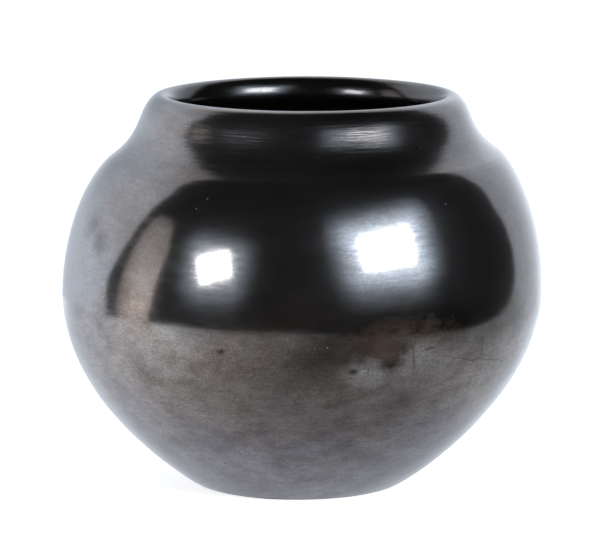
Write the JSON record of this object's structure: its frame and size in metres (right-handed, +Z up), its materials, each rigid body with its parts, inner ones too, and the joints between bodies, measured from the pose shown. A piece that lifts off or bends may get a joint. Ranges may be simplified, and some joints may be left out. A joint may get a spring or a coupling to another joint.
{
  "type": "pottery bowl",
  "caption": "Small round hand-built pottery bowl with a drawn-in shoulder, a hollow neck and a thick rounded lip, in fired clay with a coat of polished black slip.",
  "frame": {"origin": "on the table under the middle of the belly", "axes": "+Z up through the mouth; +X is the side that the lip leans to; -Y faces the viewer of the picture"},
  "size_m": [0.127, 0.127, 0.1032],
  "materials": {
    "fired_clay": "low-fired clay, smoked black in the firing, unglazed and matte, with the marks of wiping and smoothing inside",
    "polished_slip": null
  },
  "bodies": {
    "root": {"clay_body": "fired_clay", "polished_slip": "polished_slip"}
  },
  "joints": []
}
